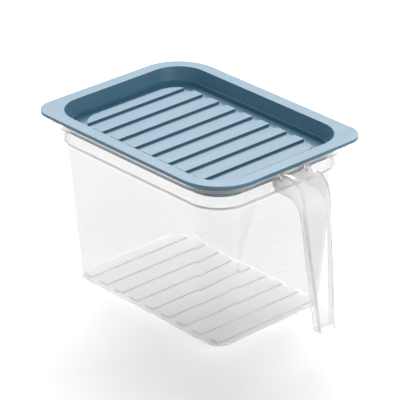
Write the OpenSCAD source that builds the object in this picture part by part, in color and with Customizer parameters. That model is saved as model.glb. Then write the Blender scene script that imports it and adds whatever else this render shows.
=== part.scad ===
// Lidded fridge bin: a clear tapered bin, a drop-in tray lid and a hanging pull handle.
// X runs along the length towards the handle, Y across, Z up from the resting plane.

/* [Lid] */
// Length of the lid's flange
lid_len = 260; // [210:1:340]
// Width of the lid's flange
lid_wid = 194; // [160:1:260]
// Height of the flange's edge
flange_h = 3; // [2.4:0.1:5]
// Thickness of the lid's skin
lid_wall = 1.8; // [1.4:0.1:2.4]
// Width of the flange, from its outer edge to the tray's mouth
flange_w = 12.8; // [11.5:0.1:18]
// Depth of the tray, from the flange's top to the ledge
tray_depth = 13; // [10:0.5:20]
// How far the tray's side wall leans in over its depth
tray_lean = 3.6; // [1:0.1:5]
// Width of the ledge at the foot of the tray's wall
ledge_w = 1.2; // [0.8:0.1:3]
// Radius of the two corners that follow the bin's rim
flange_r = 45; // [38:1:60]
// Radius of the two finger-grip corners, which stand out past the rim
grip_r = 21; // [12:1:34]

/* [Lid ridges] */
// Height of a ridge above the strip beside it
ridge_h = 2.4; // [1:0.1:4]
// Width of a ridge
ridge_w = 12.2; // [7:0.1:16]
// Number of ridges
ridge_n = 8; // [3:1:10]
// Length of the low strip between the last ridge and the panel's handle end
ridge_rest = 17; // [4:0.5:24]
// Depth of the channel round the ridged panel, below the low strips
channel_h = 1.6; // [0.8:0.1:3]
// Width of the channel along the sides of the ridged panel
channel_w = 14; // [6:0.2:20]
// Width of the channel at the panel's end away from the handle
channel_back = 12.3; // [6:0.1:20]
// Width of the channel at the panel's handle end
channel_front = 18.6; // [6:0.1:24]
// Corner radius of the panel at its end away from the handle
panel_r_back = 24; // [6:0.5:30]
// Corner radius of the panel at its handle end
panel_r_front = 11; // [6:0.5:30]

/* [Bin] */
// Height of the bin, to the top of its rim
bin_h = 177; // [130:1:240]
// Thickness of the bin's walls
bin_wall = 1.8; // [1.4:0.1:2.4]
// Thickness of the bin's floor
floor_t = 2; // [1.6:0.1:3]
// How far the base is inside the lid's edge at each end
base_in_x = 25; // [18:0.5:34]
// How far the base is inside the lid's edge at each side
base_in_y = 26; // [18:0.5:34]
// Corner radius of the base
base_r = 19.5; // [14:0.5:30]
// Height of the rim's turned-down edge
rim_h = 5.4; // [4:0.1:8]
// Height from the shoulder under the collar to the rim's top
collar_h = 24; // [21:0.5:34]
// How far the shoulder steps in under the collar
shoulder_in = 2.8; // [1.5:0.1:5]

/* [Floor ribs] */
// Height of a floor rib
rib_h = 2; // [1:0.1:3]
// Width of a floor rib
rib_w = 11.7; // [7:0.1:14]
// Number of floor ribs
rib_n = 9; // [3:1:11]
// Flat floor left beside the ribs at each end, measured from the base's edge
rib_gap_x = 8.7; // [4:0.1:20]
// Flat floor left beside the ribs at each side, measured from the base's edge
rib_gap_y = 7.7; // [4:0.1:20]

/* [Handle] */
// Width of the handle at its shoulder
handle_w_top = 35.4; // [30:0.2:48]
// Width of the handle at its lower end
handle_w_bottom = 21; // [16:0.2:30]
// Reach from the collar to the front of the grip, at the bend
handle_reach = 42; // [36:0.5:56]
// Height of the handle's lower end above the resting plane
handle_clear = 26; // [10:1:50]
// How far the grip slants out, from the bend to its lower end
handle_slant = 16.5; // [2:0.5:30]
// Thickness of the handle's skin
handle_wall = 2.4; // [1.8:0.1:3.2]
// Depth of the grip's side cheeks under the bend
cheek_top = 4.6; // [4:0.1:8]
// Depth of the grip's side cheeks at the lower end
cheek_bottom = 8.8; // [5:0.1:14]
// Outer radius of the bend between the arms and the grip
bend_r = 24; // [18:0.5:30]
// Width of the notch between the two arms
notch_w = 26; // [16:0.5:27]
// Distance from the collar to the end of the notch
notch_reach = 30; // [24:0.5:36]
// Thickness of the back plate, which seats on the collar
plate_t = 5.4; // [3:0.1:7]
// Height of the back plate
plate_h = 15; // [10:0.5:16]

/* [Hidden] */
$fn = 96;

slice = 0.02;          // thickness of the slices that a tapered block is drawn between
seat_gap = 0.4;        // clearance between the lid's plug and the collar
rim_in = 0.5;          // how far the rim stands inside the lid's edge
lip_w = 1.6;           // width of both turned-down edges
handle_gap = 0.4;      // clearance between the handle and the rim
arm_drop = 1;          // how far the arms' top lies below the rim's top
cap_t = 3;             // thickness of the handle's lower end
plate_r = 6;           // radius of the back plate's lower corners
nub_r = 3.5;           // radius of the gate nub in the middle of the floor
nub_h = 0.6;           // height of the gate nub
gate_r = 4.5;          // radius of the gate pad under the nub, which reaches the resting plane
over = 1;              // how far a cut runs past a face
bend_n = 16;           // number of chords in the handle's bend

// Lid levels and insets, each inset measured in from the lid's edge
lid_top = bin_h + flange_h;
ledge_z = lid_top - tray_depth;
panel_z = ledge_z - ridge_h;
channel_z = panel_z - channel_h;
plug_z = channel_z - lid_wall;
lean = tray_lean / tray_depth;
plug_in = flange_w - lid_wall;
plug_bottom_in = plug_in + lean * (lid_top - plug_z);
well_in = flange_w + tray_lean + ledge_w;
panel_len = lid_len - 2 * well_in - channel_back - channel_front;
panel_wid = lid_wid - 2 * well_in - 2 * channel_w;
panel_x = (channel_back - channel_front) / 2;
tray_r = flange_r - flange_w;
tray_bottom_r = tray_r - tray_lean / 2;
plug_r = tray_r + lid_wall;
plug_bottom_r = plug_r - tray_lean / 2;

// Bin levels and insets
collar_in = plug_in + lean * flange_h - seat_gap - bin_wall;
collar_r = flange_r - collar_in;
shoulder_z = bin_h - collar_h;
wall_z = shoulder_z - shoulder_in;
wall_in = collar_in + shoulder_in;

// Handle places
collar_x = lid_len / 2 - collar_in;
grip_x = collar_x + handle_reach;
arm_top = bin_h - arm_drop;
bend_z = arm_top - bend_r;
slant = atan2(handle_slant, bend_z - handle_clear);
plate_top = bin_h - rim_h - handle_gap;
plate_z = plate_top - plate_h;

module rounded(len, wid, r) {
    square([len - 2 * r, wid], center = true);
    square([len, wid - 2 * r], center = true);
    for (x = [-1, 1], y = [-1, 1])
        translate([x * (len / 2 - r), y * (wid / 2 - r)]) circle(r);
}

// The lid's outline, set in by the same amount at its ends and sides
module outline(inset, r) {
    rounded(lid_len - 2 * inset, lid_wid - 2 * inset, r);
}

// The flange's outline: two corners follow the rim and two stand out as finger grips
module flange_outline(inset) {
    for (x = [-1, 1], y = [-1, 1])
        intersection() {
            outline(inset, (x == y ? grip_r : flange_r) - inset);
            translate([min(x, 0) * lid_len, min(y, 0) * lid_wid]) square([lid_len, lid_wid]);
        }
}

// A block from one outline at z0 up to another at z1; in0 and in1 are insets in X and Y
module taper(in0, r0, z0, in1, r1, z1) {
    hull() {
        translate([0, 0, z0]) linear_extrude(slice)
            rounded(lid_len - 2 * in0[0], lid_wid - 2 * in0[1], r0);
        translate([0, 0, z1 - slice]) linear_extrude(slice)
            rounded(lid_len - 2 * in1[0], lid_wid - 2 * in1[1], r1);
    }
}

// Evenly spaced bars that run across the length; trim narrows each bar at its long sides
module bars(len, wid, bar_w, n, trim) {
    pitch = (len - bar_w) / (n - 1);
    for (i = [0:n - 1])
        translate([-len / 2 + i * pitch + trim, -wid / 2 + trim])
            square([bar_w - 2 * trim, wid - 2 * trim]);
}

// The ridged panel's outline, set in by trim
module panel_plan(trim) {
    len = panel_len - 2 * trim;
    wid = panel_wid - 2 * trim;
    translate([panel_x, 0])
        for (x = [-1, 1])
            intersection() {
                rounded(len, wid, (x < 0 ? panel_r_back : panel_r_front) - trim);
                translate([min(x, 0) * len, -wid]) square([len, 2 * wid]);
            }
}

// The plan of the lid's ridges, clipped by the panel's round corners
module ridge_plan(trim) {
    intersection() {
        translate([panel_x - ridge_rest / 2, 0])
            bars(panel_len - ridge_rest, panel_wid, ridge_w, ridge_n, trim);
        panel_plan(trim);
    }
}

// The plan of the floor ribs, clipped by the base's round corners
module rib_plan(trim) {
    in_x = base_in_x + bin_wall + trim;
    in_y = base_in_y + bin_wall + trim;
    intersection() {
        bars(lid_len - 2 * (base_in_x + rib_gap_x), lid_wid - 2 * (base_in_y + rib_gap_y),
             rib_w, rib_n, trim);
        rounded(lid_len - 2 * in_x, lid_wid - 2 * in_y, base_r - bin_wall - trim);
    }
}

module lid() {
    color([0.42, 0.58, 0.68]) {
        difference() {
            union() {
                translate([0, 0, bin_h]) linear_extrude(flange_h) flange_outline(0);
                taper([plug_bottom_in, plug_bottom_in], plug_bottom_r, plug_z,
                      [plug_in, plug_in], plug_r, lid_top);
            }
            lid_tray();
            lid_underside();
        }
        translate([0, 0, panel_z]) linear_extrude(ridge_h)
            difference() {
                ridge_plan(0);
                ridge_plan(lid_wall);
            }
        translate([0, 0, ledge_z - lid_wall]) linear_extrude(lid_wall) ridge_plan(0);
    }
}

// The space in the tray: its leaning mouth, the channel and the low panel
module lid_tray() {
    taper([flange_w + tray_lean, flange_w + tray_lean], tray_bottom_r, ledge_z,
          [flange_w, flange_w], tray_r, lid_top + slice);
    translate([0, 0, channel_z]) linear_extrude(ledge_z - channel_z + slice)
        difference() {
            outline(well_in, tray_bottom_r - ledge_w);
            panel_plan(0);
        }
    translate([0, 0, panel_z]) linear_extrude(ledge_z - panel_z + slice) panel_plan(-slice);
}

// The space under the lid: the flange's hollow, the low panel's and the ridges'
module lid_underside() {
    translate([0, 0, bin_h - over]) linear_extrude(flange_h - lid_wall + over)
        difference() {
            flange_outline(lip_w);
            outline(plug_in + lean * flange_h, plug_r);
        }
    translate([0, 0, plug_z - over]) linear_extrude(channel_h + over) panel_plan(lid_wall);
    translate([0, 0, plug_z]) linear_extrude(channel_h + ridge_h) ridge_plan(lid_wall);
}

module bin_body() {
    color([0.93, 0.94, 0.95, 0.45]) {
        difference() {
            union() {
                taper([base_in_x, base_in_y], base_r, 0, [wall_in, wall_in], collar_r, wall_z);
                taper([wall_in, wall_in], collar_r, wall_z - slice,
                      [collar_in, collar_in], collar_r, shoulder_z);
                translate([0, 0, shoulder_z - slice]) linear_extrude(collar_h + slice)
                    outline(collar_in, collar_r);
                translate([0, 0, bin_h - rim_h]) linear_extrude(rim_h)
                    outline(rim_in, flange_r - rim_in);
            }
            bin_inside();
            bin_underside();
        }
        translate([0, 0, rib_h]) linear_extrude(floor_t) rib_plan(0);
        linear_extrude(rib_h + slice)
            difference() {
                rib_plan(0);
                rib_plan(floor_t);
            }
        translate([0, 0, rib_h + floor_t]) cylinder(h = nub_h, r = nub_r);
        cylinder(h = rib_h + slice, r = gate_r);
    }
}

// The space in the bin: the tapered well, the shoulder and the collar
module bin_inside() {
    taper([base_in_x + bin_wall, base_in_y + bin_wall], base_r - bin_wall, floor_t,
          [wall_in + bin_wall, wall_in + bin_wall], collar_r - bin_wall, wall_z);
    taper([wall_in + bin_wall, wall_in + bin_wall], collar_r - bin_wall, wall_z - slice,
          [collar_in + bin_wall, collar_in + bin_wall], collar_r - bin_wall, shoulder_z);
    translate([0, 0, shoulder_z - slice]) linear_extrude(collar_h + over)
        outline(collar_in + bin_wall, collar_r - bin_wall);
}

// The hollow under the rim and the grooves under the floor ribs
module bin_underside() {
    translate([0, 0, bin_h - rim_h - over]) linear_extrude(rim_h - bin_wall + over)
        difference() {
            outline(rim_in + lip_w, flange_r - rim_in - lip_w);
            outline(collar_in, collar_r);
        }
    translate([0, 0, -over]) linear_extrude(rib_h + over) rib_plan(floor_t);
}

// Points along the bend, from the top round to the grip's slant, at radius r
function bend_points(x, z, r) =
    [for (i = [0:bend_n]) let (a = 90 - (90 - slant) * i / bend_n) [x + r * cos(a), z + r * sin(a)]];

// The side view of the handle's outside, or of a face that lies t under it
module handle_side(t) {
    foot_x = grip_x + handle_slant;
    turn = bend_points(grip_x - bend_r, bend_z, bend_r - t);
    foot = [[foot_x - t / cos(slant), handle_clear], [collar_x, handle_clear]];
    polygon(concat([[collar_x, arm_top - t]], turn, foot));
}

// The side view of the space behind the grip and under the arms
module handle_gap_side() {
    inner_r = bend_r - cheek_top;
    back_x = grip_x + handle_slant - cheek_bottom;
    turn = bend_points(grip_x - bend_r, plate_z - inner_r, inner_r);
    sides = [[back_x, handle_clear - over], [collar_x - over, handle_clear - over]];
    polygon(concat([[collar_x - over, plate_z]], turn, sides));
}

// The front view of the handle, t inside its outline
module handle_front(t) {
    top = handle_w_top / 2 - t;
    bottom = handle_w_bottom / 2 - t;
    polygon([[-bottom, handle_clear], [bottom, handle_clear], [top, bend_z],
             [top, arm_top], [-top, arm_top], [-top, bend_z]]);
}

// A side view, stretched across the handle's width
module across(wid) {
    translate([0, wid / 2, 0]) rotate([90, 0, 0]) linear_extrude(wid) children();
}

// A front view, stretched along the length from x0 by depth
module along(x0, depth) {
    translate([x0, 0, 0]) rotate([90, 0, 90]) linear_extrude(depth) children();
}

module handle() {
    depth = handle_reach + handle_slant;
    color([0.93, 0.94, 0.95, 0.45]) {
        difference() {
            intersection() {
                across(handle_w_top) handle_side(0);
                along(collar_x, depth) handle_front(0);
            }
            across(handle_w_top + over) handle_gap_side();
            intersection() {
                across(handle_w_top) handle_side(handle_wall);
                along(collar_x - over, depth + over) handle_front(handle_wall);
                translate([collar_x - over, -handle_w_top, handle_clear + cap_t])
                    cube([depth + over, 2 * handle_w_top, bin_h]);
            }
            handle_notch();
            translate([collar_x - over, -handle_w_top, plate_top])
                cube([lid_len / 2 - rim_in + handle_gap - collar_x + over, 2 * handle_w_top, bin_h]);
        }
        along(collar_x, plate_t) back_plate();
    }
}

// The notch is open above and ends in a half circle
module handle_notch() {
    end_x = collar_x + notch_reach - notch_w / 2;
    translate([0, 0, bend_z]) linear_extrude(bend_r + over) {
        translate([collar_x + plate_t, -notch_w / 2]) square([end_x - collar_x - plate_t, notch_w]);
        translate([end_x, 0]) circle(notch_w / 2);
    }
}

// The plate that joins the arms and seats on the collar, with round lower corners
module back_plate() {
    half = handle_w_top / 2;
    translate([-half, plate_z + plate_r]) square([2 * half, plate_h - plate_r]);
    translate([plate_r - half, plate_z]) square([2 * (half - plate_r), plate_h]);
    for (y = [-1, 1]) translate([y * (half - plate_r), plate_z + plate_r]) circle(plate_r);
}

bin_body();
lid();
handle();
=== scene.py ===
"""Lidded fridge bin: a clear bin, a dusty-blue tray lid and a clear hanging handle."""
import math

import bmesh
import bpy
from mathutils import Matrix, Vector


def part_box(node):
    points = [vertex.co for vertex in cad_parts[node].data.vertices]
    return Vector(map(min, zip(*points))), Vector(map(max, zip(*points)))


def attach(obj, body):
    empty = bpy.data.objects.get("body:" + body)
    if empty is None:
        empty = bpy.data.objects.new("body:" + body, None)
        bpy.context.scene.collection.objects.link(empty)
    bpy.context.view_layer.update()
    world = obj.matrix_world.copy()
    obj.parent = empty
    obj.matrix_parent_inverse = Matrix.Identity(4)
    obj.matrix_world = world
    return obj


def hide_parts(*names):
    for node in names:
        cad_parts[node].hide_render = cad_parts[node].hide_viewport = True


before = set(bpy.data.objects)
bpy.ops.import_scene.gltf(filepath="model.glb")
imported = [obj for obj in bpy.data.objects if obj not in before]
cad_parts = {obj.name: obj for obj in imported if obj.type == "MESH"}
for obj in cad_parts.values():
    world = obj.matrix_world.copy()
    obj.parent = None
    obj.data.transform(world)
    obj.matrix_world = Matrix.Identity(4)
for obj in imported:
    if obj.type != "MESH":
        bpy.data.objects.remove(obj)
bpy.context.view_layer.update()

bl_info = {
    "name": "Lidded fridge bin",
    "version": (1, 0, 0),
    "blender": (4, 5, 0),
    "location": "View3D > Sidebar > Fridge bin",
    "description": "Builds a clear fridge bin with a ridged tray lid and a hanging handle",
    "category": "Object",
}

MM = 0.001
CORNER_STEPS = 14  # segments in each round corner of an outline
EDGE_STEPS = 4  # segments in each rounded chain of edges
BEND_STEPS = 18  # sections round the handle's bend
GRIP_STEPS = 10  # sections down the handle's grip
FOLD_STEPS = 6  # segments round the handle's folds
SHARP = math.radians(35)  # faces that meet at more than this get a rounded edge
# Fold faces in this range of sideways look get the greyer painted-shade tint
FOLD_FACING = (0.2, 0.98)  # how far sideways a face on the handle's folds looks
ROUND_END = 0.999  # corner radius of a round end, as a share of its half width

TINY = 1e-6
WELD = 0.02 * MM  # vertices nearer than this are one vertex after a boolean
TRIM = 0.01 * MM  # a face's middle lies further than this inside the bar it belongs to
STEP_DRAFT = 0.3 * MM  # lean of the step where the handle's arms pass the lid
CONTACT = 0.15 * MM  # air left where two pieces touch, so that no faces fall together
HELD_APART = 0.25  # metres between outlines at one level while they are joined

WAVE_LENGTH = 40 * MM  # pitch of the slow waves in a clear wall
WAVE_HEIGHT = 0.002 * MM
GRAIN_HEIGHT = 0.05 * MM  # depth of the lid's etched grain
IOR_PLASTIC = 1.49  # polypropylene
# Slot 1 is painted shade: a greyer, milkier copy of the clear plastic on rounded edges, rib
# sides and the handle's folds, standing in for the dark outlines and shading of clear edges.
# Slot 2 is painted light: a paler, milkier copy of the same plastic that brightens the ribbed
# floor, and the shoulder too.
BODY, SHADED_EDGE, PAINTED_BRIGHT = 0, 1, 2  # material slots of the clear mouldings

CORNERS = ((-1, -1), (1, -1), (1, 1), (-1, 1))
LID_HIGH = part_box("lid")[1]
BIN_LOW, BIN_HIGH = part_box("bin_body")
HANDLE_LOW, HANDLE_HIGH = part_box("handle")


def length(name, description, millimetres):
    """A size property in metres whose default is given in millimetres."""
    return bpy.props.FloatProperty(
        name=name,
        description=description,
        default=millimetres * MM,
        min=0.0,
        unit="LENGTH",
        subtype="DISTANCE",
    )


def count(name, description, number):
    """A whole-number property."""
    return bpy.props.IntProperty(name=name, description=description, default=number, min=2)


def shade(name, description, hex_code):
    """A colour property whose default is an sRGB hex value."""
    return bpy.props.FloatVectorProperty(
        name=name,
        description=description,
        default=linear(hex_code),
        min=0.0,
        max=1.0,
        subtype="COLOR",
    )


def linear(hex_code):
    """The linear colour of an sRGB hex value such as "446d8c"."""
    parts = [int(hex_code[i : i + 2], 16) / 255 for i in (0, 2, 4)]
    return [p / 12.92 if p <= 0.04045 else ((p + 0.055) / 1.055) ** 2.4 for p in parts]


class FridgeBinSizes(bpy.types.PropertyGroup):
    """Sizes and counts of the three mouldings that the CAD parts' boxes don't give"""

    skin: length("Skin", "Thickness of the bin's and the lid's skin", 1.8)
    edge: length("Edge rounding", "Radius left on the clear mouldings' edges", 0.5)
    lid_edge: length("Lid edge rounding", "Radius left on the lid's edges", 0.3)

    base_in_x: length("Base inset, ends", "How far the base is inside the lid's ends", 25.0)
    base_in_y: length("Base inset, sides", "How far the base is inside the lid's sides", 26.0)
    base_radius: length("Base corner", "Corner radius of the base", 19.5)
    foot_radius: length("Foot rounding", "Radius between the floor and the walls, inside", 1.6)
    collar_in: length("Collar inset", "How far the collar is inside the lid's edge", 9.63)
    collar_radius: length("Collar corner", "Corner radius of the collar", 35.37)
    collar_height: length("Collar height", "From the shoulder to the rim's top", 24.0)
    shoulder: length("Shoulder", "How far the shoulder steps in under the collar", 2.8)
    rim_in: length("Rim inset", "How far the rim stands inside the lid's edge", 0.5)
    rim_height: length("Rim height", "Height of the rim's turned-down edge", 5.4)
    rim_rounding: length("Rim rounding", "Radius along the rim's top edges", 2.2)
    shoulder_low: length("Shoulder rounding, below", "Radius from wall to shoulder", 3.0)
    shoulder_high: length("Shoulder rounding, above", "Radius from shoulder to collar", 1.2)

    rib_count: count("Ribs", "Number of floor ribs", 9)
    rib_height: length("Rib height", "Height of a floor rib", 2.0)
    rib_width: length("Rib width", "Width of a floor rib", 11.7)
    rib_span: length("Rib span", "Length over all the floor ribs", 192.6)
    rib_length: length("Rib length", "Length of a floor rib, across the bin", 126.6)
    nub_radius: length("Gate nub", "Radius of the round nub in the middle of the floor", 3.5)
    nub_height: length("Gate nub height", "Height of the nub above its rib", 0.6)

    lid_corner: length("Lid corner", "Radius of the lid corners that follow the rim", 45.0)
    grip_corner: length("Finger corner", "Radius of the two finger-grip corners", 21.0)
    flange_width: length("Flange width", "From the lid's edge to the tray's mouth", 12.8)
    tray_depth: length("Tray depth", "From the flange's top to the ledge", 13.0)
    tray_lean: length("Tray lean", "How far the tray's wall leans in over its depth", 3.6)
    ledge_width: length("Ledge width", "Width of the ledge at the foot of the wall", 2.2)
    channel_width: length("Channel, sides", "Width along the sides of the panel", 13.0)
    channel_back: length("Channel, far end", "Width at the end away from the handle", 11.3)
    channel_front: length("Channel, handle end", "Width at the panel's handle end", 17.6)
    channel_depth: length("Channel depth", "How far the channel lies below the panel", 1.6)
    panel_radius_back: length("Panel corner, far end", "Radius away from the handle", 24.0)
    panel_radius_front: length("Panel corner, handle end", "Radius near the handle", 11.0)
    ridge_count: count("Ridges", "Number of ridges on the lid's panel", 8)
    ridge_height: length("Ridge height", "Height of a ridge above the panel", 2.4)
    ridge_width: length("Ridge width", "Width of a ridge", 12.2)
    ridge_rest: length("Last low strip", "From the last ridge to the panel's edge", 17.0)

    handle_gap: length("Handle gap", "Clearance between the handle and the rim", 0.4)
    handle_skin: length("Handle skin", "Thickness of the handle's skin", 2.4)
    handle_fold: length("Handle fold", "Radius along the folds of the handle", 2.6)
    bend_radius: length("Bend", "Outer radius between the arms and the grip", 24.0)
    grip_slant: length("Grip slant", "How far the grip slants out down to its foot", 16.5)
    foot_width: length("Foot width", "Width of the handle at its foot", 21.0)
    cheek_top: length("Cheek, top", "Depth of the grip's cheeks under the bend", 4.6)
    cheek_foot: length("Cheek, foot", "Depth of the grip's cheeks at the foot", 8.8)
    notch_width: length("Notch width", "Width of the notch between the arms", 26.0)
    notch_reach: length("Notch reach", "From the collar to the end of the notch", 30.0)
    foot_cap: length("Foot", "Thickness of the handle's closed lower end", 3.0)
    plate_thickness: length("Back plate", "Thickness of the plate on the collar", 5.4)
    plate_height: length("Plate height", "Height of the plate on the collar", 15.0)
    plate_radius: length("Plate corner", "Radius of the plate's lower corners", 6.0)


class FridgeBinColours(bpy.types.PropertyGroup):
    """Colours of the mouldings and the studio floor"""

    lid: shade("Lid", "Dusty blue of the lid's polypropylene", "3b657b")
    bin: shade("Bin", "Faint tint of the clear bin", "eaeaea")
    handle: shade("Handle", "Faint tint of the clear handle", "f2f1f1")
    # Painted light: the floor's tint is paler than the bin's own, to brighten the ribbed floor
    # made of the same plastic
    floor_panel_painted_light: shade("Bin's floor", "Paler tint that brightens the bin's ribbed floor and shoulder, painted light", "f9f8f8")
    # Painted shade: this tint is greyer than the bin's own, standing in for the dark outlines at
    # clear edges and the shading of rib sides
    bin_edge_shade: shade("Bin edges", "Greyer tint of the bin's rounded edges and rib sides, painted shade", "d6d7da")
    # Painted shade: this tint is greyer than the handle's own, standing in for the dark outlines
    # along its folds
    handle_edge_shade: shade("Handle edges", "Greyer tint of the handle's rounded edges, painted shade", "dcdddf")
    floor: shade("Floor", "Pale studio floor", "e8e8e8")


# ---------------------------------------------------------------- mesh tools


def made_by(bm, make):
    """Runs make() and returns the vertices that it added."""
    before = set(bm.verts)
    make()
    return [v for v in bm.verts if v not in before]


def ring(bm, half_x, half_y, radii, z, middle=0.0):
    """The edges of one level outline: a rectangle whose corners a vertex bevel rounds."""

    def make():
        corners = [bm.verts.new((middle + x * half_x, y * half_y, z)) for x, y in CORNERS]
        bm.faces.new(corners)
        for corner, radius in zip(corners, radii):
            if radius == 0:
                continue
            bmesh.ops.bevel(
                bm,
                geom=[corner],
                offset=radius,
                offset_type="OFFSET",
                segments=CORNER_STEPS,
                profile=0.5,
                affect="VERTICES",
                material=-1,
            )

    verts = set(made_by(bm, make))
    faces = [f for f in bm.faces if all(v in verts for v in f.verts)]
    bmesh.ops.delete(bm, geom=faces, context="FACES_ONLY")
    return [e for e in bm.edges if e.verts[0] in verts and e.verts[1] in verts]


def loft(bm, rings, apart=0.0):
    """Joins each outline to the next one with a band of faces.

    Outlines at one level are held apart while they are joined, or the band may twist.
    """
    for low, high in zip(rings, rings[1:]):
        verts = list({v for e in high for v in e.verts})
        bmesh.ops.translate(bm, vec=(0, 0, apart), verts=verts)
        bmesh.ops.bridge_loops(bm, edges=low + high)
        bmesh.ops.translate(bm, vec=(0, 0, -apart), verts=verts)


def fill_between(bm, outer, inner):
    """Fills the flat strip between two outlines at one level, whose corners may differ."""
    bmesh.ops.triangle_fill(bm, use_beauty=True, edges=outer + inner)


def round_over(bm, edges, radius):
    """Rounds a chain of edges."""
    bmesh.ops.bevel(
        bm,
        geom=edges,
        offset=radius,
        offset_type="OFFSET",
        segments=EDGE_STEPS,
        profile=0.5,
        affect="EDGES",
        clamp_overlap=True,
        material=-1,
    )


def cut_across(bm, faces, places, axis):
    """Cuts faces with planes square to an axis and returns all the faces they become."""
    normal = Vector((0, 0, 0))
    normal[axis] = 1
    for place in places:
        edges = dict.fromkeys(e for f in faces for e in f.edges)
        verts = dict.fromkeys(v for f in faces for v in f.verts)
        geom = [*faces, *edges, *verts]
        cut = bmesh.ops.bisect_plane(bm, geom=geom, plane_co=normal * place, plane_no=normal)
        faces = [g for g in cut["geom"] if isinstance(g, bmesh.types.BMFace)]
    return faces


def bar_edges(start, span, width, count):
    """The places of the long sides of evenly spaced bars, in pairs."""
    pitch = (span - width) / (count - 1)
    starts = [start + i * pitch for i in range(count)]
    return [(s, s + width) for s in starts]


def raise_faces(bm, faces, height):
    """Extrudes faces straight up."""
    lifted = bmesh.ops.extrude_face_region(bm, geom=faces)["geom"]
    verts = [g for g in lifted if isinstance(g, bmesh.types.BMVert)]
    bmesh.ops.translate(bm, vec=(0, 0, height), verts=verts)
    bmesh.ops.delete(bm, geom=faces, context="FACES")


def raise_bars(bm, faces, bars, height):
    """Extrudes up the faces that lie inside the bars, one bar at a time."""
    middles = [(f, f.calc_center_median().x) for f in faces]
    groups = [[f for f, x in middles if low + TRIM < x < high - TRIM] for low, high in bars]
    for inside in groups:
        raise_faces(bm, inside, height)


def finished(bm, name, materials, body, node):
    """Turns a bmesh into a piece that rides on a body and stands for a CAD node."""
    bmesh.ops.recalc_face_normals(bm, faces=bm.faces)
    mesh = bpy.data.meshes.new(name)
    bm.to_mesh(mesh)
    bm.free()
    for material in materials:
        mesh.materials.append(material)
    mesh.shade_smooth()
    piece = bpy.data.objects.new(name, mesh)
    bpy.context.scene.collection.objects.link(piece)
    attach(piece, body)
    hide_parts(node)
    return piece


def thicken(piece, thickness, offset):
    """Gives a sheet its thickness on one side."""
    solid = piece.modifiers.new("Skin", "SOLIDIFY")
    solid.thickness = thickness
    solid.offset = offset
    solid.use_even_offset = True
    solid.use_quality_normals = True


def soften(piece, radius, material=-1):
    """Rounds every edge that is still sharp, and keeps the flat faces flat in the light."""
    bevel = piece.modifiers.new("Edges", "BEVEL")
    bevel.limit_method = "ANGLE"
    bevel.angle_limit = SHARP
    bevel.width = radius
    bevel.segments = 3
    bevel.use_clamp_overlap = True
    bevel.miter_outer = "MITER_ARC"
    bevel.material = material
    normals = piece.modifiers.new("Normals", "WEIGHTED_NORMAL")
    normals.keep_sharp = True
    normals.weight = 60


# ----------------------------------------------------------------- materials


def rgba(colour, share=1.0):
    """A colour made darker or lighter by a share, with full alpha."""
    return (*[min(1.0, share * c) for c in colour], 1.0)


def named_input(node, key):
    """The input that a key names: i3 is the fourth, and an underscore is a space."""
    if key[0] == "i" and key[1:].isdigit():
        return node.inputs[int(key[1:])]
    return node.inputs[key.replace("_", " ")]


def add_node(tree, kind, settings=None, **links):
    """Adds a node; links give an input's value or the socket that feeds it."""
    made = tree.nodes.new(kind)
    for key, value in (settings or {}).items():
        setattr(made, key, value)
    for key, value in links.items():
        target = named_input(made, key)
        if isinstance(value, bpy.types.NodeSocket):
            tree.links.new(value, target)
        else:
            target.default_value = value
    return made


def new_material(name):
    """An empty node material with its output and Object coordinates."""
    material = bpy.data.materials.new(name)
    material.use_nodes = True
    tree = material.node_tree
    tree.nodes.clear()
    output = tree.nodes.new("ShaderNodeOutputMaterial")
    place = tree.nodes.new("ShaderNodeTexCoord").outputs["Object"]
    return material, tree, output, place


def two_tone(tree, share, base, low, high):
    """The base colour, going from low to high times its brightness as the share rises."""
    mix = add_node(
        tree,
        "ShaderNodeMix",
        {"data_type": "RGBA"},
        Factor=share,
        i6=rgba(base, low),
        i7=rgba(base, high),
    )
    return mix.outputs[2]


def either(tree, share, first, second):
    """Mixes two shaders; a share of 1 gives the second."""
    mix = add_node(tree, "ShaderNodeMixShader", i0=share, i1=first, i2=second)
    return mix.outputs["Shader"]


def clear_moulded(name, tint, roughness, haze):
    """Clear injection-moulded polypropylene: pale grey, glossy and a little milky.

    Haze is the share of the light that the milky body scatters; the rest bends through.
    """
    material, tree, output, place = new_material(name)
    waves = add_node(
        tree,
        "ShaderNodeTexNoise",
        Vector=place,
        Scale=1 / WAVE_LENGTH,
        Detail=1.0,
        Roughness=0.4,
    )
    bump = add_node(
        tree,
        "ShaderNodeBump",
        Strength=0.6,
        Distance=WAVE_HEIGHT,
        Height=waves.outputs["Fac"],
    )
    plastic = add_node(
        tree,
        "ShaderNodeBsdfPrincipled",
        Base_Color=rgba(tint),
        Roughness=roughness,
        IOR=IOR_PLASTIC,
        Transmission_Weight=1.0,
        Normal=bump.outputs["Normal"],
    )
    # The milky body scatters light back and on in equal shares
    back = add_node(tree, "ShaderNodeBsdfDiffuse", Color=rgba(tint, 0.97))
    onward = add_node(tree, "ShaderNodeBsdfTranslucent", Color=rgba(tint, 0.97))
    milk = either(tree, 0.5, back.outputs["BSDF"], onward.outputs["BSDF"])
    body = either(tree, haze, plastic.outputs["BSDF"], milk)
    # Light goes on through the walls to the floor, a little dimmed at each surface
    passing = add_node(tree, "ShaderNodeBsdfTransparent", Color=rgba(tint, 0.92))
    rays = add_node(tree, "ShaderNodeLightPath")
    surface = either(tree, rays.outputs["Is Shadow Ray"], body, passing.outputs["BSDF"])
    tree.links.new(surface, output.inputs["Surface"])
    return material


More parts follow.
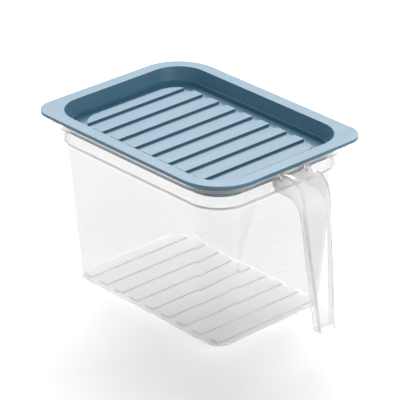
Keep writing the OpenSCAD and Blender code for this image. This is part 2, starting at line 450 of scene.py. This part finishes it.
def satin_polypropylene(name, base):
    """Coloured polypropylene, fine-etched mould: soft sheen, tiny grain, faint flow marks."""
    material, tree, output, place = new_material(name)
    along = add_node(tree, "ShaderNodeMapping", Vector=place, Scale=(1.0, 0.08, 1.0))
    flow = add_node(
        tree, "ShaderNodeTexNoise", Vector=along.outputs["Vector"], Scale=220.0, Detail=3.0
    )
    grain = add_node(tree, "ShaderNodeTexNoise", Vector=place, Scale=1400.0, Detail=2.0)
    gloss = add_node(
        tree,
        "ShaderNodeMapRange",
        Value=flow.outputs["Fac"],
        From_Min=0.3,
        From_Max=0.7,
        To_Min=0.40,
        To_Max=0.48,
    )
    bump = add_node(
        tree,
        "ShaderNodeBump",
        Strength=0.25,
        Distance=GRAIN_HEIGHT,
        Height=grain.outputs["Fac"],
    )
    plastic = add_node(
        tree,
        "ShaderNodeBsdfPrincipled",
        Base_Color=two_tone(tree, flow.outputs["Fac"], base, 0.90, 1.10),
        Roughness=gloss.outputs["Result"],
        IOR=IOR_PLASTIC,
        Normal=bump.outputs["Normal"],
    )
    tree.links.new(plastic.outputs["BSDF"], output.inputs["Surface"])
    return material


def studio_paper(name, base):
    """Matt white studio paper: pale, with the faintest mottle."""
    material, tree, output, place = new_material(name)
    mottle = add_node(tree, "ShaderNodeTexNoise", Vector=place, Scale=3.0, Detail=2.0)
    paper = add_node(
        tree,
        "ShaderNodeBsdfPrincipled",
        Base_Color=two_tone(tree, mottle.outputs["Fac"], base, 0.99, 1.0),
        Roughness=0.9,
        IOR=1.3,
    )
    tree.links.new(paper.outputs["BSDF"], output.inputs["Surface"])
    return material


# -------------------------------------------------------------------- pieces


def lid_halves(inset_x, inset_y=None):
    """Half the length and width of an outline that is set in from the lid's edge."""
    return LID_HIGH.x - inset_x, LID_HIGH.y - (inset_x if inset_y is None else inset_y)


class FRIDGEBIN_OT_bin(bpy.types.Operator):
    """Build the clear bin: ribbed floor, tapered walls, shoulder, collar and rim"""

    bl_idname = "fridgebin.bin"
    bl_label = "Clear bin"

    def execute(self, context):
        s = context.scene.fridge_bin_sizes
        t = s.skin
        shoulder_z = BIN_HIGH.z - s.collar_height
        wall_z = shoulder_z - s.shoulder
        levels = [
            ((s.base_in_x + t, s.base_in_y + t), s.base_radius - t, BIN_LOW.z + t),
            ((s.collar_in + s.shoulder + t,), s.collar_radius - t, wall_z),
            ((s.collar_in + t,), s.collar_radius - t, shoulder_z),
            ((s.collar_in + t,), s.collar_radius - t, BIN_HIGH.z - CONTACT),
            ((s.rim_in,), s.lid_corner - s.rim_in, BIN_HIGH.z - CONTACT),
            ((s.rim_in,), s.lid_corner - s.rim_in, BIN_HIGH.z - s.rim_height),
        ]
        bm = bmesh.new()
        rings = [ring(bm, *lid_halves(*inset), [r] * 4, z) for inset, r, z in levels]
        loft(bm, rings, apart=HELD_APART)
        # Shoulder faces take the paler, milkier slot; the rest is plain clear plastic
        for face in bm.faces:
            on_shoulder = wall_z < face.calc_center_median().z < shoulder_z
            face.material_index = PAINTED_BRIGHT if on_shoulder else BODY
        self.add_floor(bm, s, rings[0], BIN_LOW.z + t)
        radii = [s.foot_radius, s.shoulder_low, s.shoulder_high] + [s.rim_rounding] * 2
        for edges, radius in zip(rings, radii):
            round_over(bm, edges, radius)
        colours = context.scene.fridge_bin_colours
        finishes = (  # what follows each colour is its roughness and its haze
            ("Clear polypropylene, moulded", colours.bin, 0.02, 0.06),
            # Painted shade: a greyer copy of the clear plastic for rounded edges and rib sides
            ("Clear polypropylene, rounded edge, painted shade", colours.bin_edge_shade, 0.05, 0.35),
            # Painted light: a paler, milkier copy of the clear plastic that brightens the ribbed
            # floor and the shoulder
            ("Clear polypropylene, ribbed floor, painted brighter", colours.floor_panel_painted_light, 0.08, 0.38),
        )
        clear = [clear_moulded(*finish) for finish in finishes]
        piece = finished(bm, "clear_bin", clear, "bin", "bin_body")
        thicken(piece, t, -1.0)
        # The rounded edges take the greyer painted-shade slot
        soften(piece, s.edge, material=SHADED_EDGE)
        return {"FINISHED"}

    def add_floor(self, bm, s, wall_ring, z):
        """The ribbed panel, and the flat floor between it and the foot of the walls."""
        panel = ring(bm, s.rib_span / 2, s.rib_length / 2, [0.0] * 4, z)
        fill_between(bm, wall_ring, panel)
        faces = bmesh.ops.edgenet_fill(bm, edges=panel)["faces"]
        bars = bar_edges(-s.rib_span / 2, s.rib_span, s.rib_width, s.rib_count)
        faces = cut_across(bm, faces, [x for bar in bars for x in bar][1:-1], 0)
        raise_bars(bm, faces, bars, s.rib_height)
        self.add_gate_nub(bm, s, z + s.rib_height)
        bm.normal_update()
        # Floor faces up to the tops of the ribs and the nub: upright ones take the greyer
        # painted-shade slot, flat ones the paler painted-light slot
        for face in bm.faces:
            rise = face.calc_center_median().z - z
            if rise < s.rib_height + s.nub_height + TINY:
                upright = abs(face.normal.z) < 0.5
                face.material_index = SHADED_EDGE if upright else PAINTED_BRIGHT

    def add_gate_nub(self, bm, s, z):
        """The low round nub that the mould's gate leaves in the middle of the floor."""
        level = [f for f in bm.faces if all(abs(v.co.z - z) < TINY for v in f.verts)]
        rib = min(level, key=lambda f: f.calc_center_median().xy.length)
        nub = ring(bm, s.nub_radius, s.nub_radius, [s.nub_radius * ROUND_END] * 4, z)
        bound = list(rib.edges)
        bmesh.ops.delete(bm, geom=[rib], context="FACES_ONLY")
        fill_between(bm, bound, nub)
        top = bmesh.ops.edgenet_fill(bm, edges=nub)["faces"]
        raise_faces(bm, top, s.nub_height)


class FRIDGEBIN_OT_lid(bpy.types.Operator):
    """Build the tray lid: flange, finger corners, leaning wall, ledge, channel and ridges"""

    bl_idname = "fridgebin.lid"
    bl_label = "Tray lid"

    def execute(self, context):
        s = context.scene.fridge_bin_sizes
        top = LID_HIGH.z
        ledge_z = top - s.tray_depth
        panel_z = ledge_z - s.ridge_height
        channel_z = panel_z - s.channel_depth
        tray_radius = s.lid_corner - s.flange_width
        foot_radius = tray_radius - s.tray_lean / 2
        flange = [s.grip_corner, s.lid_corner, s.grip_corner, s.lid_corner]
        ledge_in = s.flange_width + s.tray_lean
        well_in = ledge_in + s.ledge_width
        half_x, half_y = lid_halves(well_in + s.channel_width)
        panel = (half_x + s.channel_width - (s.channel_back + s.channel_front) / 2, half_y)
        panel_x = (s.channel_back - s.channel_front) / 2
        panel_radii = [s.panel_radius_back, s.panel_radius_front]
        panel_radii += panel_radii[::-1]
        levels = [
            (0.0, flange, BIN_HIGH.z),
            (0.0, flange, top),
            (s.flange_width, [tray_radius] * 4, top),
            (ledge_in, [foot_radius] * 4, ledge_z),
            (well_in, [foot_radius - s.ledge_width] * 4, ledge_z),
            (well_in, [foot_radius - s.ledge_width] * 4, channel_z),
        ]
        bm = bmesh.new()
        rings = [ring(bm, *lid_halves(inset), radii, z) for inset, radii, z in levels]
        heights = (channel_z, panel_z)
        low, high = [ring(bm, *panel, panel_radii, z, panel_x) for z in heights]
        loft(bm, rings, apart=HELD_APART)
        fill_between(bm, rings[-1], low)
        loft(bm, [low, high])
        faces = bmesh.ops.edgenet_fill(bm, edges=high)["faces"]
        start, span = panel_x - panel[0], 2 * panel[0] - s.ridge_rest
        bars = bar_edges(start, span, s.ridge_width, s.ridge_count)
        faces = cut_across(bm, faces, [x for bar in bars for x in bar][1:], 0)
        raise_bars(bm, faces, bars, s.ridge_height)
        colours = context.scene.fridge_bin_colours
        blue = satin_polypropylene("Blue polypropylene, satin moulded", colours.lid)
        piece = finished(bm, "tray_lid", [blue], "lid", "lid")
        thicken(piece, s.skin, -1.0)
        soften(piece, s.lid_edge)
        return {"FINISHED"}


class FRIDGEBIN_OT_handle(bpy.types.Operator):
    """Build the hanging handle: back plate, two arms, bend and channel-section grip"""

    bl_idname = "fridgebin.handle"
    bl_label = "Hanging handle"

    def execute(self, context):
        s = context.scene.fridge_bin_sizes
        self.plan(s)
        bm = bmesh.new()
        rings = [self.section(bm, s, *station) for station in self.stations(s)]
        loft(bm, rings)
        for end in (rings[0], rings[-1]):
            bmesh.ops.edgenet_fill(bm, edges=end)
        bmesh.ops.remove_doubles(bm, verts=bm.verts, dist=TINY)
        # Faces on the folds that look partly sideways take the greyer painted-shade slot
        flat, side = FOLD_FACING
        for face in bm.faces:
            face.normal_update()
            face.material_index = SHADED_EDGE if flat < abs(face.normal.y) < side else BODY
        colours = context.scene.fridge_bin_colours
        finishes = (  # what follows each colour is its roughness and its haze
            ("Clear polypropylene, thick moulding", colours.handle, 0.05, 0.26),
            # Painted shade: a greyer copy of the clear plastic for the handle's folds
            ("Clear polypropylene, thick fold, painted shade", colours.handle_edge_shade, 0.08, 0.35),
        )
        clear = [clear_moulded(*finish) for finish in finishes]
        piece = finished(bm, "pull_handle", clear, "bin", "handle")
        self.combine(piece, self.notch_block(s), "DIFFERENCE")
        self.combine(piece, self.plate_block(s), "UNION")
        # The rounded edges take the greyer painted-shade slot
        soften(piece, s.edge, material=SHADED_EDGE)
        return {"FINISHED"}

    def plan(self, s):
        """Works out the side view: arm, bend and grip, from the CAD handle's box."""
        self.start_x = LID_HIGH.x - s.rim_in + s.handle_gap
        bend_x = HANDLE_HIGH.x - s.grip_slant - s.bend_radius
        self.bend = Vector((bend_x, HANDLE_HIGH.z - s.bend_radius))
        self.foot = Vector((HANDLE_HIGH.x, HANDLE_LOW.z))
        self.slant = math.atan2(s.grip_slant, self.bend.y - self.foot.y)
        self.plate_top = BIN_HIGH.z - s.rim_height - s.handle_gap
        self.plate_low = self.plate_top - s.plate_height
        self.inner_radius = s.bend_radius - s.cheek_top
        self.inner_bend = Vector((self.bend.x, self.plate_low - self.inner_radius))

    def stations(self, s):
        """Outside point, cheek's end, surface normal and web thickness along the handle."""
        up = Vector((0, 1))
        thin, thick = s.handle_skin, s.handle_skin + HANDLE_HIGH.z - self.plate_top
        low, high = self.plate_top, HANDLE_HIGH.z
        plate_x = HANDLE_LOW.x + s.plate_thickness / 2
        arm = [
            (plate_x, low, thin),
            (self.start_x, low, thin),
            (self.start_x + STEP_DRAFT, high, thick),
            (self.start_x + s.handle_skin, high, thick),
            (self.start_x + s.handle_skin + STEP_DRAFT, high, thin),
        ]
        rows = [(Vector((x, z)), Vector((x, self.plate_low)), up, web) for x, z, web in arm]
        for i in range(BEND_STEPS + 1):
            angle = math.pi / 2 - (math.pi / 2 - self.slant) * i / BEND_STEPS
            out = Vector((math.cos(angle), math.sin(angle)))
            outside = self.bend + s.bend_radius * out
            rows.append((outside, self.inner_bend + self.inner_radius * out, out, thin))
        top, cheek = rows[-1][:2]
        cheek_foot = self.foot - Vector((s.cheek_foot, 0))
        cap = 1 - s.foot_cap / (top.y - self.foot.y)
        grip = [(i / GRIP_STEPS, thin) for i in range(1, GRIP_STEPS)]
        for share, web in (*grip, (cap, thin), (cap, 0.0), (1.0, 0.0)):
            outside = top.lerp(self.foot, share)
            rows.append((outside, cheek.lerp(cheek_foot, share), out, web))
        return rows

    def half_width(self, z, s):
        """Half the handle's width at a height."""
        share = max(0.0, (self.bend.y - z) / (self.bend.y - self.foot.y))
        return HANDLE_HIGH.y + (s.foot_width / 2 - HANDLE_HIGH.y) * share

    def section(self, bm, s, outside, cheek, normal, web):
        """One channel-shaped section; a web thickness of 0 gives the solid foot."""
        half, skin, fold = self.half_width(outside.y, s), s.handle_skin, s.handle_fold
        down = (cheek - outside).normalized()
        squash = -down.dot(normal)
        depth = (cheek - outside).length * squash

        def make():
            sides = [(-half, 0), (half, 0), (half, -depth), (half - skin, -depth)]
            sides += [(half - skin, -(web or skin)), (skin - half, -(web or skin))]
            sides += [(skin - half, -depth), (-half, -depth)]
            verts = [bm.verts.new((x, y, 0)) for x, y in sides]
            bm.faces.new(verts)
            radii = ((0, fold), (1, fold), (4, fold - skin / 2), (5, fold - skin / 2))
            for corner, radius in radii:
                bmesh.ops.bevel(
                    bm,
                    geom=[verts[corner]],
                    offset=radius,
                    offset_type="OFFSET",
                    segments=FOLD_STEPS,
                    profile=0.5,
                    affect="VERTICES",
                    material=-1,
                )

        made = set(made_by(bm, make))
        if not web:
            for v in made:
                if abs(v.co.x) < half - skin + TINY and v.co.y < -skin + TINY:
                    v.co.y = -depth
        along = Vector((down.x, 0, down.y)) / -squash
        turned = Matrix(((0, 1, 0), along, (0, 0, 1))).transposed().to_4x4()
        place = Matrix.Translation((outside.x, 0, outside.y)) @ turned
        bmesh.ops.transform(bm, matrix=place, verts=list(made))
        faces = [f for f in bm.faces if all(v in made for v in f.verts)]
        bmesh.ops.delete(bm, geom=faces, context="FACES_ONLY")
        return [e for e in bm.edges if e.verts[0] in made and e.verts[1] in made]

    def prism(self, name, half_x, half_y, radii, depth, place):
        """A prism with round corners, made flat and then put in its place."""
        bm = bmesh.new()
        loft(bm, [ring(bm, half_x, half_y, radii, z) for z in (0, depth)])
        bmesh.ops.holes_fill(bm, edges=bm.edges, sides=0)
        bmesh.ops.transform(bm, matrix=place, verts=bm.verts)
        bmesh.ops.recalc_face_normals(bm, faces=bm.faces)
        mesh = bpy.data.meshes.new(name)
        bm.to_mesh(mesh)
        bm.free()
        block = bpy.data.objects.new(name, mesh)
        bpy.context.scene.collection.objects.link(block)
        return block

    def notch_block(self, s):
        """The notch between the arms, with a half-round end."""
        start = HANDLE_LOW.x + s.plate_thickness
        end = HANDLE_LOW.x + s.notch_reach
        half_x, half_y = (end - start) / 2, s.notch_width / 2
        radii = [0.0, half_y * ROUND_END, half_y * ROUND_END, 0.0]
        place = Matrix.Translation(((start + end) / 2, 0, self.bend.y))
        return self.prism("notch", half_x, half_y, radii, s.bend_radius * 2, place)

    def plate_block(self, s):
        """The plate that joins the arms and seats on the collar; its lower corners are round."""
        middle = (self.plate_low + self.plate_top) / 2
        turned = Matrix(((0, 1, 0), (0, 0, 1), (1, 0, 0))).transposed().to_4x4()
        place = Matrix.Translation((HANDLE_LOW.x + CONTACT, 0, middle)) @ turned
        radii = [s.plate_radius, s.plate_radius, 0.0, 0.0]
        depth = s.plate_thickness - CONTACT
        return self.prism("plate", HANDLE_HIGH.y, s.plate_height / 2, radii, depth, place)

    def combine(self, piece, block, operation):
        """Cuts a block out of a piece or joins it on, and removes the block."""
        boolean = piece.modifiers.new("Combine", "BOOLEAN")
        boolean.operation = operation
        boolean.object = block
        boolean.solver = "EXACT"
        graph = bpy.context.evaluated_depsgraph_get()
        combined = piece.evaluated_get(graph)
        result = bpy.data.meshes.new_from_object(combined, depsgraph=graph)
        piece.modifiers.clear()
        bm = bmesh.new()
        bm.from_mesh(result)
        bmesh.ops.remove_doubles(bm, verts=bm.verts, dist=WELD)
        bmesh.ops.dissolve_degenerate(bm, edges=bm.edges, dist=WELD)
        bm.to_mesh(result)
        bm.free()
        old, piece.data = piece.data, result
        result.name = piece.name
        bpy.data.meshes.remove(old)
        bpy.data.meshes.remove(block.data)


class FRIDGEBIN_OT_stage(bpy.types.Operator):
    """Set the floor, the soft studio light and the camera"""

    bl_idname = "fridgebin.stage"
    bl_label = "Studio"

    camera_azimuth = 47.39
    camera_elevation = 26.21
    camera_distance = 2.6563
    camera_lens = 252.2
    aim_right = 0.0019
    aim_down = 0.0750
    sight = 50.0  # metres that the camera sees
    floor_reach = 6.0  # metres of floor on each side
    sky_strength = 0.78
    # Name, azimuth and elevation in degrees, distance in metres, size in metres, watts
    soft_boxes = (
        ("back_softbox", 228, 40, 2.8, (3.0, 1.0), 116),
        ("right_softbox", 95, 28, 2.2, (1.6, 1.0), 16),
    )

    def execute(self, context):
        scene = context.scene
        self.make_floor(scene)
        self.make_world(scene)
        for soft_box in self.soft_boxes:
            self.make_soft_box(scene, *soft_box)
        self.make_camera(scene)
        scene.view_settings.view_transform = "Standard"
        return {"FINISHED"}

    @staticmethod
    def directions(azimuth, elevation):
        """Right, up and back of a viewer at an azimuth from the front and an elevation."""
        a, e = math.radians(azimuth), math.radians(elevation)
        back = Vector((math.sin(a) * math.cos(e), -math.cos(a) * math.cos(e), math.sin(e)))
        right = Vector((math.cos(a), math.sin(a), 0))
        return right, back.cross(right), back

    def place(self, thing, origin, azimuth, elevation):
        """Turns a thing to look along -back and puts it at origin."""
        right, up, back = self.directions(azimuth, elevation)
        turned = Matrix((right, up, back)).transposed().to_4x4()
        thing.matrix_world = Matrix.Translation(origin) @ turned

    def make_floor(self, scene):
        bm = bmesh.new()
        bmesh.ops.create_grid(bm, x_segments=1, y_segments=1, size=self.floor_reach)
        bmesh.ops.translate(bm, vec=(0, 0, BIN_LOW.z - CONTACT), verts=bm.verts)
        mesh = bpy.data.meshes.new("studio_floor")
        bm.to_mesh(mesh)
        bm.free()
        paper = studio_paper("Studio paper, matt", scene.fridge_bin_colours.floor)
        mesh.materials.append(paper)
        floor = bpy.data.objects.new("studio_floor", mesh)
        scene.collection.objects.link(floor)

    def make_world(self, scene):
        world = bpy.data.worlds.new("Studio")
        scene.world = world
        world.use_nodes = True
        sky = world.node_tree.nodes["Background"]
        sky.inputs["Color"].default_value = rgba((1, 1, 1))
        sky.inputs["Strength"].default_value = self.sky_strength

    def make_soft_box(self, scene, name, azimuth, elevation, distance, size, power):
        light = bpy.data.lights.new(name, "AREA")
        light.shape = "RECTANGLE"
        light.size, light.size_y = size
        light.energy = power
        lamp = bpy.data.objects.new(name, light)
        scene.collection.objects.link(lamp)
        target = Vector((0, 0, LID_HIGH.z / 2))
        back = self.directions(azimuth, elevation)[2]
        self.place(lamp, target + back * distance, azimuth, elevation)

    def make_camera(self, scene):
        camera = bpy.data.cameras.new("camera")
        camera.lens = self.camera_lens
        camera.clip_end = self.sight
        eye = bpy.data.objects.new("camera", camera)
        scene.collection.objects.link(eye)
        right, up, back = self.directions(self.camera_azimuth, self.camera_elevation)
        target = Vector((0, 0, LID_HIGH.z)) + right * self.aim_right - up * self.aim_down
        origin = target + back * self.camera_distance
        self.place(eye, origin, self.camera_azimuth, self.camera_elevation)
        scene.camera = eye


class FRIDGEBIN_PT_panel(bpy.types.Panel):
    """Lists the sizes, the colours and one button for each piece"""

    bl_idname = "FRIDGEBIN_PT_panel"
    bl_label = "Fridge bin"
    bl_space_type = "VIEW_3D"
    bl_region_type = "UI"
    bl_category = "Fridge bin"

    def draw(self, context):
        for operator in OPERATORS:
            self.layout.operator(operator.bl_idname)
        for group in (context.scene.fridge_bin_sizes, context.scene.fridge_bin_colours):
            column = self.layout.column()
            for name in group.__annotations__:
                column.prop(group, name)


OPERATORS = (FRIDGEBIN_OT_bin, FRIDGEBIN_OT_lid, FRIDGEBIN_OT_handle, FRIDGEBIN_OT_stage)
CLASSES = (FridgeBinSizes, FridgeBinColours, *OPERATORS, FRIDGEBIN_PT_panel)


def register():
    for cls in CLASSES:
        bpy.utils.register_class(cls)
    bpy.types.Scene.fridge_bin_sizes = bpy.props.PointerProperty(type=FridgeBinSizes)
    bpy.types.Scene.fridge_bin_colours = bpy.props.PointerProperty(type=FridgeBinColours)


def unregister():
    del bpy.types.Scene.fridge_bin_colours
    del bpy.types.Scene.fridge_bin_sizes
    for cls in reversed(CLASSES):
        bpy.utils.unregister_class(cls)


def main():
    register()
    bpy.ops.fridgebin.bin()
    bpy.ops.fridgebin.lid()
    bpy.ops.fridgebin.handle()
    bpy.ops.fridgebin.stage()


if __name__ == "__main__":
    main()
